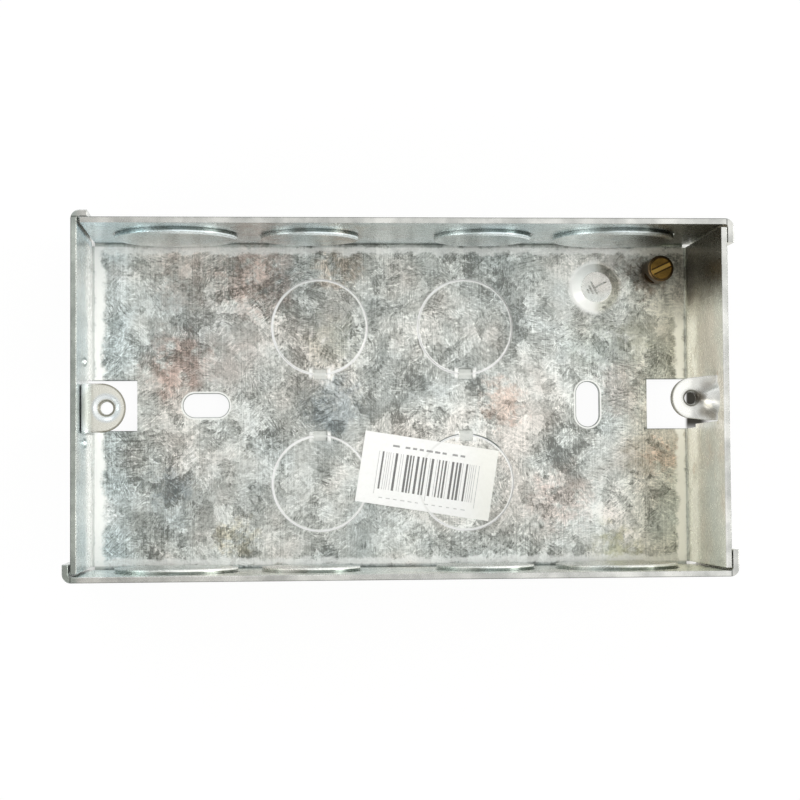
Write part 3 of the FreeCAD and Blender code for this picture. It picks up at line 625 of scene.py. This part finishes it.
def spangle(tree, place, axes, inside, wander):
    """The zinc's grey, and the needles that its relief and gloss follow."""
    large = crystals(tree, frayed(tree, place, wander, 9.0), 0.085)
    loose = frayed(tree, place, drift(tree, place, 0.9), 2.4)
    small = crystals(tree, loose, 0.30)
    fern = ferns(tree, loose, small, 3.0)
    main_needles = needles(tree, place, small, 0.0, 0.75, 4.2)
    side_needles = needles(tree, place, large, 1.05, 0.60, 3.4)
    large_tone = add_node(tree, "SeparateColor")
    join(tree, large, "Color", large_tone, 0)
    small_tone = add_node(tree, "SeparateColor")
    join(tree, small, "Color", small_tone, 0)
    rolled = add_node(tree, "Mapping")
    rolled.inputs["Scale"].default_value = (5.0, 0.05, 0.05)
    join(tree, place, 0, rolled, "Vector")
    tone = weighted_sum(tree, [
        (small_tone, "Green", 0.075), (large_tone, "Green", 0.055), (fern, "Fac", 0.25),
        (main_needles, "Fac", 0.15), (side_needles, "Fac", 0.10),
        (noise(tree, place, 1.7, 4.0, 0.7), "Fac", 0.12), (noise(tree, rolled, 1.0), "Fac", 0.13),
        (noise(tree, place, 0.055), "Fac", 0.12)])
    coarse = add_node(tree, "MapRange", None, From_Min=0.36, From_Max=0.64, To_Min=0.95,
                      To_Max=1.85)
    join(tree, noise(tree, place, 0.075), "Fac", coarse, "Value")
    wall = either(tree, both(tree, between(tree, axes, "Z", 1.9, 3.0), inside),
                  both(tree, opposite(tree, inside), 0.5))
    calm = scaled(tree, wall, -0.84)
    stretched = both(tree, math_node(tree, "SUBTRACT", (tone, 0), 0.50), coarse, calm)
    light = both(tree, between(tree, main_needles, "Fac", 0.53, 0.66),
                 between(tree, noise(tree, place, 0.23), "Fac", 0.44, 0.58), 0.075)
    dark = both(tree, between(tree, side_needles, "Fac", 0.47, 0.36),
                between(tree, noise(tree, place, 0.17), "Fac", 0.50, 0.60), -0.075)
    strokes = both(tree, math_node(tree, "ADD", (light, 0), (dark, 0)), calm)
    # The walls' tone is raised a little, a painted light.
    tone = weighted_sum(tree, [(stretched, 0, 1.0), (strokes, 0, 1.0), (wall, 0, 0.040)])
    tone = math_node(tree, "ADD", (tone, 0), 0.495)
    greys = ramp_node(tree, [(0.37, (0.18, 0.185, 0.175)), (0.44, (0.34, 0.35, 0.335)),
                             (0.50, (0.53, 0.54, 0.525)), (0.56, (0.73, 0.74, 0.725)),
                             (0.63, (0.94, 0.945, 0.93))], (tone, 0))
    depth = math_node(tree, "MULTIPLY", (main_needles, "Fac"), (calm, 0))
    return greys, main_needles, depth


print("spangle ready")

# %% [markdown]
# The stains are listed one by one, each with its place, its reach in millimetres and the
# colour that it multiplies the zinc by. A frayed distance keeps their edges natural.

# %% Stains
STAINS = (
    (-30.0, 28.5, 12.0, (0.82, 0.68, 0.64)),
    (-47.5, 9.0, 9.5, (0.82, 0.68, 0.64)),
    (-47.0, 27.0, 8.0, (0.86, 0.80, 0.78)),
    (-12.0, 31.0, 7.0, (0.98, 0.86, 0.78)),
    (-38.0, 12.0, 15.0, (0.90, 0.87, 0.87)),
    (-12.8, 0.5, 9.0, (0.70, 0.74, 0.78)),
    (-48.0, -18.5, 6.0, (0.74, 0.77, 0.81)),
    (-42.0, 19.0, 7.0, (1.16, 1.18, 1.20)),
    (24.0, 0.0, 7.0, (1.00, 0.84, 0.78)),
    (37.0, -21.0, 10.0, (1.00, 0.90, 0.88)),
    (61.0, -12.0, 5.0, (1.00, 0.86, 0.80)),
    (51.0, 3.0, 8.0, (0.92, 0.86, 0.84)),
    # A painted shadow beside the pillar, not a stain.
    (56.3, 28.6, 6.5, (0.42, 0.37, 0.34)),
    (51.0, 31.5, 7.0, (0.72, 0.70, 0.69)),
    (-13.8, 14.0, 8.0, (0.86, 0.85, 0.80)),
    (53.5, 15.0, 6.0, (0.66, 0.66, 0.62)),
    (55.0, -11.5, 6.5, (0.70, 0.68, 0.64)),
    (49.0, -32.0, 7.0, (0.66, 0.65, 0.52)),
    (-35.0, -29.5, 6.0, (0.92, 0.86, 0.74)),
    (45.5, 13.5, 10.0, (0.83, 0.84, 0.81)),
    (17.0, 18.0, 9.0, (1.12, 1.13, 1.14)),
    (-45.0, -18.0, 13.0, (1.12, 1.14, 1.16)),
)


def stained(tree, place, base, wander):
    flat = vector_node(tree, "MULTIPLY", frayed(tree, place, wander, 16.0), (1, 1, 0))
    cloudy = between(tree, noise(tree, place, 0.35, 4.0, 0.65), "Fac", 0.30, 0.52)
    for x, y, reach, colour in STAINS:
        spot = vector_node(tree, "DISTANCE", flat, (x, y, 0))
        mask = both(tree, between(tree, spot, "Value", reach, reach * 0.3), cloudy)
        base = multiplied(tree, base, colour, mask)
    return base


print(len(STAINS), "stains")

# %% [markdown]
# The walls are not all alike, by painted light and shade: the upper one is blue-grey, the
# lower one lighter, and the far right corner dark, most of all beside the pillar. The fixed
# lug is dished by the press, with a painted dark cone behind its hole and a painted bright
# flank beside it.


# %% Shades by place
FIXED_HOLE, SLIDING_HOLE = (60.3, 0.0), (-60.3, -1.6)


def shaded_walls(tree, place, axes, colour, inside, wander):
    wall = both(tree, between(tree, axes, "Z", 1.8, 2.6), inside)
    # Painted light and shade by where the light falls: the upper wall, facing down, is tinted
    # blue-grey; the lower one, facing up, and a sunny patch on the right wall are lightened.
    upper = both(tree, wall, between(tree, axes, "Y", 34.2, 34.6))
    colour = multiplied(tree, colour, (0.94, 1.02, 1.07), upper)
    lower = both(tree, wall, between(tree, axes, "Y", -34.6, -35.2))
    colour = multiplied(tree, colour, (1.08, 1.11, 1.09), lower)
    sunny = both(tree, wall, between(tree, axes, "X", 65.2, 65.6),
                 between(tree, axes, "Z", 20.0, 9.0))
    colour = multiplied(tree, colour, (1.16, 1.15, 1.12), sunny)
    # Painted shade: the far right corner is darkened, and the right wall behind the pillar most.
    corner = distance(tree, frayed(tree, place, wander, 6.0), (67.5, 37.5, 0), "xy")
    corner_shade = both(tree, between(tree, corner, "Value", 21.0, 10.0), wall)
    colour = multiplied(tree, colour, (0.16, 0.145, 0.12), corner_shade)
    behind = distance(tree, place, (65.8, 27.5, 5.0), "xyz")
    colour = multiplied(tree, colour, (0.25, 0.22, 0.19),
                        both(tree, between(tree, behind, "Value", 8.0, 2.0), wall))
    return colour


def lug_shades(tree, place, colour, painted_shade):
    """Painted light and shade on the two lugs; the rest keeps its colour."""
    axes = split_axes(tree, place)
    here = both(tree, between(tree, axes, "X", 55.0, 55.5), between(tree, axes, "Z", 31.0, 30.5))
    # Painted shade on the fixed lug's dish: a dark cone behind its hole and dimmer flanks.
    for x, y, reach, shade in ((61.9, 0.2, 2.2, (0.20, 0.175, 0.14)),
                               (62.9, -2.8, 1.8, (0.50, 0.48, 0.44)),
                               (64.4, -3.4, 1.8, (0.50, 0.48, 0.44)),
                               (63.6, 2.5, 2.0, (0.70, 0.68, 0.66))):
        spot = distance(tree, place, (x, y, 0), "xy")
        colour = multiplied(tree, colour, shade,
                            both(tree, between(tree, spot, "Value", reach, reach * 0.2), here))
    # Painted highlights on the fixed lug: a pale ring by its hole and a shine on its flank.
    fixed = distance(tree, place, (*FIXED_HOLE, 0), "xy")
    colour = replaced(tree, colour, (0.82, 0.82, 0.79),
                      both(tree, near(tree, fixed, "Value", 3.0, 1.5), here,
                           between(tree, axes, "X", 61.0, 59.6)))
    shine = distance(tree, place, (63.9, -1.2, 0), "xy")
    colour = replaced(tree, colour, (0.98, 0.94, 0.84),
                      both(tree, between(tree, shine, "Value", 1.4, 0.5), here))
    # A painted highlight on the sliding lug's bend, then painted light and shade round its hole:
    # a pale dish with a grey-blue ring.
    shoulder = both(tree, between(tree, axes, "X", -63.6, -64.4),
                    between(tree, axes, "Z", 24.5, 25.5), between(tree, axes, "Z", 33.0, 32.0))
    colour = replaced(tree, colour, (0.93, 0.94, 0.93), shoulder)
    slider = distance(tree, place, (*SLIDING_HOLE, 0), "xy")
    level = between(tree, axes, "Z", 31.0, 30.5)
    colour = replaced(tree, colour, (0.66, 0.655, 0.60),
                      both(tree, between(tree, slider, "Value", 6.5, 4.4), level))
    colour = replaced(tree, colour, (0.60, 0.63, 0.64),
                      both(tree, near(tree, slider, "Value", 2.4, 0.9), level))
    # Painted shade along both lugs' tip edges and round their bores.
    for hole, centre_x, radius, side in ((SLIDING_HOLE, -61.4, 4.95, 1.0),
                                         (FIXED_HOLE, 60.75, 4.60, -1.0)):
        tip = distance(tree, place, (centre_x, hole[1], 0), "xy")
        outward = math_node(tree, "SUBTRACT", (axes, "X"), centre_x)
        outward = math_node(tree, "MULTIPLY", (outward, 0), side)
        edge = both(tree, near(tree, tip, "Value", radius, 0.38),
                    between(tree, outward, 0, -1.5, 0.5), level)
        colour = multiplied(tree, colour, (0.36, 0.35, 0.31), edge)
        bore = distance(tree, place, (*hole, 0), "xy")
        edge = both(tree, near(tree, bore, "Value", 1.60, 0.26), level)
        colour = multiplied(tree, colour, (0.40, 0.39, 0.35), edge)
    # Painted shade in the creases and cuts, as on the zinc.
    return multiplied(tree, colour, (0.30, 0.31, 0.30), painted_shade)


print("shades ready")

# %% [markdown]
# The last step joins it all. The metal is less than fully metallic, since white zinc
# bloom scatters some light, and least on the painted highlights: those places shine white
# from every side. A bevel node rounds the light on sharp edges by a third of a millimetre,
# as a press does, and the needles give relief and uneven gloss.


# %% Zinc coating
def zinc(name, relief_strength, plain):
    material = empty_material(name)
    tree = material.node_tree
    place = in_millimetres(tree)
    inside = indoors(tree, place)
    wander = drift(tree, place, 0.30)
    axes, burnish_and_highlights, painted_shade, flats, bare, bloom_and_highlights, far_slope = press_marks(
        tree, place, inside, wander)
    greys, needle_field, depth = spangle(tree, place, axes, inside, wander)
    tint = ramp_node(tree, [(0.34, (0.96, 1.01, 1.02)), (0.50, (1.0, 1.01, 0.99)),
                            (0.66, (1.05, 0.99, 0.95))],
                     (noise(tree, place, 0.05), "Fac"))
    coloured = colour_mix(tree, "MULTIPLY", (greys, "Color"))
    coloured.inputs["Factor"].default_value = 1.0
    join(tree, tint, "Color", coloured, SECOND)
    colour = stained(tree, place, (coloured, RESULT), wander)
    colour = multiplied(tree, colour, (1.04, 1.10, 1.15),
                        both(tree, between(tree, axes, "X", -55.0, -61.0), inside))
    # Painted highlights, with some real burnish: the marked places turn near white.
    colour = replaced(tree, colour, (0.985, 0.99, 0.975), burnish_and_highlights)
    colour = shaded_walls(tree, place, axes, colour, inside, wander)
    colour = multiplied(tree, colour, (1.01, 0.985, 0.89),
                        between(tree, axes, "X", 48.0, 60.0))
    colour = replaced(tree, colour, (0.68, 0.70, 0.67), flats)
    # Painted light: the boss's far slope is brightened.
    colour = multiplied(tree, colour, (1.14, 1.12, 1.08), far_slope)
    # Painted shade: creases, cuts, slits and the rim's outline are darkened.
    colour = multiplied(tree, colour, (0.22, 0.25, 0.24), painted_shade)

    cut = ramp_node(tree, [(0.35, (0.40, 0.405, 0.39)), (0.65, (0.64, 0.64, 0.615))],
                    (noise(tree, place, 0.16, 3.0), "Fac"))
    bare = math_node(tree, "MAXIMUM", (bare, 0), plain)
    faced = colour_mix(tree, "MIX", colour)
    join(tree, bare, 0, faced, "Factor")
    left_rim = between(tree, axes, "X", -65.0, -66.4)
    cut = multiplied(tree, (cut, "Color"), (0.74, 0.81, 0.79), left_rim)
    feed(tree, lug_shades(tree, place, cut, painted_shade), faced, SECOND)

    rough = add_node(tree, "MapRange", None, To_Min=0.24, To_Max=0.46)
    join(tree, needle_field, "Fac", rough, "Value")
    rough = both(tree, rough, scaled(tree, between(tree, axes, "Z", 1.9, 3.0), -0.25))
    rounded = add_node(tree, "Bevel", {"samples": 4}, Radius=0.00030)
    depth = both(tree, depth, scaled(tree, bare, -0.9))
    relief = relief_node(tree, depth, 0, relief_strength, 0.00006)
    join(tree, rounded, 0, relief, "Normal")
    metal = add_node(tree, "BsdfPrincipled")
    # Less metallic on bloom and on the painted highlights, so these read white.
    join(tree, scaled(tree, bloom_and_highlights, -0.72, 0.80), 0, metal, "Metallic")
    join(tree, faced, RESULT, metal, "Base Color")
    join(tree, rough, 0, metal, "Roughness")
    join(tree, relief, 0, metal, "Normal")
    send_out(tree, metal)
    return material


def finish_node(name, material):
    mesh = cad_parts[name].data
    for index in range(max(1, len(mesh.materials))):
        if index < len(mesh.materials):
            mesh.materials[index] = material
        else:
            mesh.materials.append(material)


finish_node("back_box", zinc("zinc_spangle", 0.5, 0.0))
plated = zinc("zinc_plated_lug", 0.06, 1.0)
finish_node("adjustable_lug", plated)
print("zinc on back_box and adjustable_lug")

# %% [markdown]
# ## Brass
# The pillar and its screw are turned brass, dulled by handling. Turning leaves fine rings
# round the axis, so a wave of the distance from the axis drives relief and gloss. The slot's
# floor gets a painted highlight, and painted shade lies along both of its sides.


# %% Brass terminal
POST = (58.8, 29.5, 0.0)
SLOT_TURN = math.radians(25.0)


def brass(name, colour, low_share, slotted):
    material = empty_material(name)
    tree = material.node_tree
    place = in_millimetres(tree)
    stains = noise(tree, place, 0.9, 4.0)
    low = tuple(low_share * c for c in colour)
    body = ramp_node(tree, [(0.35, low), (0.65, colour)], (stains, "Fac"))
    from_axis = distance(tree, place, POST, "xy")
    rings = math_node(tree, "MULTIPLY", (from_axis, "Value"), 16.0)
    rings = math_node(tree, "SINE", (rings, 0))
    tinted = (body, "Color")
    if slotted:
        centred = vector_node(tree, "SUBTRACT", place, POST)
        lined_up = add_node(tree, "VectorRotate", {"rotation_type": "Z_AXIS"},
                            Angle=-SLOT_TURN)
        join(tree, centred, 0, lined_up, "Vector")
        along = split_axes(tree, lined_up)
        aside, ends = absolute(tree, along, "Y"), absolute(tree, along, "X")
        inside = between(tree, ends, 0, 2.25, 2.10)
        slot_shade = both(tree, near(tree, aside, 0, 0.56, 0.24), inside)
        # A painted highlight on the slot's floor and painted shade along its sides.
        slot_floor_highlight = both(tree, between(tree, aside, 0, 0.46, 0.36), inside)
        tinted = replaced(tree, tinted, (0.50, 0.32, 0.085), slot_floor_highlight)
        tinted = replaced(tree, tinted, (0.045, 0.026, 0.008), slot_shade)
        edge = between(tree, from_axis, "Value", 2.15, 2.35)
        tinted = multiplied(tree, tinted, (0.55, 0.52, 0.50), edge)
    rough = add_node(tree, "MapRange", None, To_Min=0.28, To_Max=0.50)
    join(tree, stains, "Fac", rough, "Value")
    relief = relief_node(tree, rings, 0, 0.35, 0.00003)
    metal = add_node(tree, "BsdfPrincipled", None, Metallic=0.95)
    feed(tree, tinted, metal, "Base Color")
    join(tree, rough, 0, metal, "Roughness")
    join(tree, relief, 0, metal, "Normal")
    send_out(tree, metal)
    return material


finish_node("earth_pillar", brass("brass_pillar", (0.12, 0.078, 0.038), 0.50, False))
finish_node("earth_screw", brass("brass_screw", (0.25, 0.150, 0.036), 0.55, True))
print("brass on earth_pillar and earth_screw")

# %% [markdown]
# ## The paper label
# A matt white sticker. Its paper has a faint fibre mottle and a slightly creamier right
# end, and a faint glow of its own, a painted light for the whitener that such paper holds.
# It is pressed down over the knockout's edge below it, so a soft line shows there: a bump
# with a painted shade along it.

# %% Label paper
paper_white = empty_material("label_paper")
tree = paper_white.node_tree
place = in_millimetres(tree)
fibre = noise(tree, place, 1.5)
tone = ramp_node(tree, [(0.3, (0.93, 0.93, 0.925)), (0.7, (0.98, 0.98, 0.975))],
                 (fibre, "Fac"))
axes = split_axes(tree, place)
shade = multiplied(tree, (tone, "Color"), (0.985, 0.98, 0.94),
                   between(tree, axes, "X", 14.0, 21.0))
# Painted shade along the knockout's edge under the label.
under = distance(tree, place, (BASE_DISC[0], -BASE_DISC[1], 0), "xy")
pressed = BASE_RADIUS + 0.1
shade = multiplied(tree, shade, (0.88, 0.88, 0.875),
                   near(tree, under, "Value", pressed, 0.35))
height = near(tree, under, "Value", pressed, 0.6)
relief = relief_node(tree, height, 0, 0.35, 0.00006)
# The faint emission is a painted glow.
sheet = add_node(tree, "BsdfPrincipled", None, Roughness=0.55, Emission_Strength=0.03)
sheet.inputs["Emission Color"].default_value = (0.97, 0.99, 1.0, 1.0)
feed(tree, shade, sheet, "Base Color")
join(tree, relief, 0, sheet, "Normal")
send_out(tree, sheet)
finish_node("paper_label", paper_white)
print("paper on paper_label")

# %% [markdown]
# ## Print on the label
# Print could be an image, but an image can't travel with a procedural material. Here the
# ink is a thin plate for each mark, in a mesh for each shade: upright bars of random
# widths from a fixed seed, which encode nothing, and short dashes where print would be.


# %% Plates of ink
def new_piece(name, points, faces, material, body):
    mesh = bpy.data.meshes.new(name)
    mesh.from_pydata([tuple(p) for p in points], [], faces)
    mesh.update()
    mesh.materials.append(material)
    piece = bpy.data.objects.new(name, mesh)
    bpy.context.scene.collection.objects.link(piece)
    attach(piece, body)
    return piece


label_low, label_high = [Vector(corner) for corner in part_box("paper_label")]
label_middle = (label_low + label_high) / 2
LABEL_TURN = math.radians(-9.05)


def on_label(along, across, lift):
    """A point on the label, from millimetres along and across it and above it."""
    c, s = math.cos(LABEL_TURN), math.sin(LABEL_TURN)
    return Vector((label_middle.x + (along * c - across * s) / 1000,
                   label_middle.y + (along * s + across * c) / 1000,
                   label_high.z + lift / 1000))


def ink_plates(name, marks, material):
    """Marks are (left, right, low, high) in millimetres; each becomes a bevelled plate."""
    points, faces = [], []
    for left, right, low, high in marks:
        first = len(points)
        inset = min(0.02, (right - left) / 5)
        for grow, lift in ((0.0, 0.002), (-inset, 0.012)):
            points += [on_label(left - grow, low - grow, lift),
                       on_label(right + grow, low - grow, lift),
                       on_label(right + grow, high + grow, lift),
                       on_label(left - grow, high + grow, lift)]
        faces.append([first + i for i in (4, 5, 6, 7)])
        faces.append([first + i for i in (3, 2, 1, 0)])
        for i in range(4):
            j = (i + 1) % 4
            faces.append([first + i, first + j, first + 4 + j, first + 4 + i])
    return new_piece(name, points, faces, material, "box")


def ink(name, value):
    """Printing ink: a grey that thins out in small flecks."""
    material = empty_material(name)
    tree = material.node_tree
    place = in_millimetres(tree)
    flecks = noise(tree, place, 6.0, 2.0)
    tone = ramp_node(tree, [(0.35, (value, value, value)),
                            (0.75, (value + 0.16,) * 3)], (flecks, "Fac"))
    relief = relief_node(tree, flecks, "Fac", 0.2, 0.00001)
    body = add_node(tree, "BsdfPrincipled", None, Roughness=0.5)
    join(tree, tone, "Color", body, "Base Color")
    join(tree, relief, 0, body, "Normal")
    send_out(tree, body)
    return material


print("label middle", [round(1000 * v, 2) for v in label_middle])

# %% [markdown]
# Thick bars print solid and dark. The thin ones are finer than the eye resolves, so they
# read as light grey: they get their own, paler ink.

# %% Print the label
picker = random.Random(27)
thick, thin = [], []
edge = -11.2
while edge < 11.3:
    width = picker.choice((0.14, 0.14, 0.14, 0.16, 0.30, 0.40, 0.52))
    low = -5.6 if edge < -10.6 or abs(edge) < 0.5 or edge > 10.7 else -4.4
    if low < -5.0:
        width = 0.14
    (thick if width > 0.2 else thin).append((edge, edge + width, low, 3.9))
    edge += width + picker.choice((0.28, 0.34, 0.46, 0.62))
heading = []
edge = -8.4
while edge < 7.6:
    width = picker.uniform(0.8, 1.5)
    heading.append((edge, edge + width, 5.2, 5.65))
    edge += width + picker.choice((0.5, 0.5, 0.6, 1.3))
footing = []
for index in range(12):
    edge = -9.9 + index * 1.62 + (0.5 if index > 5 else 0.0)
    footing.append((edge, edge + picker.uniform(0.7, 1.0), -6.35, -6.15))
ink_plates("label_thick_bars", thick, ink("ink_dark", 0.13))
ink_plates("label_thin_bars", thin + footing, ink("ink_pale", 0.52))
ink_plates("label_heading_dashes", heading, ink("ink_grey", 0.30))
print(len(thick), "thick and", len(thin), "thin bars,", len(heading), "heading dashes")

# %% [markdown]
# ## The earth sign on the boss
# The sign is pressed in fine relief: a stem and three shrinking bars, turned up to the
# right. Each stroke is a low mound, swept from half an ellipse and tapered at both ends,
# so it catches light along one side only, as a coined line does.


# %% Coined strokes
BOSS_TOP = 2.7
SIGN_TURN = math.radians(27.0)


def on_boss(along, across, height):
    c, s = math.cos(SIGN_TURN), math.sin(SIGN_TURN)
    return Vector((BOSS[0] + along * c - across * s, BOSS[1] + along * s + across * c,
                   BOSS_TOP + height)) / 1000


def mound(points, faces, start, end, width, height, steps=10, arc=6):
    """Adds a low ridge between two places on the boss, given along and across the sign."""
    run = Vector((end[0] - start[0], end[1] - start[1]))
    aside = Vector((-run.y, run.x)).normalized()
    first = len(points)
    for i in range(steps + 1):
        share = i / steps
        taper = min(1.0, math.sin(math.pi * share) * 2.4 + 0.05)
        for j in range(arc + 1):
            angle = math.pi * j / arc
            x = start[0] + run.x * share + aside.x * math.cos(angle) * width / 2 * taper
            y = start[1] + run.y * share + aside.y * math.cos(angle) * width / 2 * taper
            points.append(on_boss(x, y, math.sin(angle) * height * taper - 0.02))
    for i in range(steps):
        for j in range(arc):
            a = first + i * (arc + 1) + j
            faces.append([a, a + 1, a + arc + 2, a + arc + 1])
        bottom = first + i * (arc + 1)
        faces.append([bottom + arc, bottom, bottom + arc + 1, bottom + 2 * arc + 1])


sign_points, sign_faces = [], []
mound(sign_points, sign_faces, (-0.5, 0.0), (2.6, 0.0), 0.36, 0.42)
for along, half in ((-0.55, 1.75), (-1.35, 1.15), (-2.1, 0.55)):
    mound(sign_points, sign_faces, (along, half), (along, -half), 0.36, 0.42)
earth_sign = new_piece("earth_sign", sign_points, sign_faces, plated, "box")
for face in earth_sign.data.polygons:
    face.use_smooth = True
print("earth sign:", len(sign_faces), "faces")

# %% [markdown]
# ## Threads in the lug holes
# The CAD bores are plain at the core size. A thread is a helix of one triangular ridge,
# so it is swept point by point and rides with the lug that it is cut in.


# %% Thread ridges
STEPS_PER_TURN = 40


def thread(name, hole, low, high, body, radius=1.45, pitch=0.6, depth=0.17):
    x, y = hole
    points, faces = [], []
    steps = int((high - low - pitch) / pitch * STEPS_PER_TURN)
    for i in range(steps + 1):
        angle = 2 * math.pi * i / STEPS_PER_TURN
        height = low + pitch / 2 + pitch * i / STEPS_PER_TURN
        fade = min(1.0, i / 12, (steps - i) / 12)
        for out_by, rise in ((0.02, -0.24), (-depth * fade, 0.0), (0.02, 0.24)):
            points.append(Vector((x + (radius + out_by) * math.cos(angle),
                                  y + (radius + out_by) * math.sin(angle),
                                  height + rise)) / 1000)
    for i in range(steps):
        a = 3 * i
        faces += [[a, a + 1, a + 4, a + 3], [a + 1, a + 2, a + 5, a + 4],
                  [a + 2, a, a + 3, a + 5]]
    faces += [[0, 2, 1], [3 * steps, 3 * steps + 1, 3 * steps + 2]]
    return new_piece(name, points, faces, plated, body)


fixed_thread = thread("fixed_lug_thread", FIXED_HOLE, 26.95, 29.40, "box")
sliding_thread = thread("sliding_lug_thread", SLIDING_HOLE, 27.15, 29.05, "sliding_lug")
print("threads:", len(fixed_thread.data.polygons), len(sliding_thread.data.polygons))

# %% Finish
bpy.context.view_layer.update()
scene = bpy.context.scene
scene.view_settings.view_transform = "Standard"
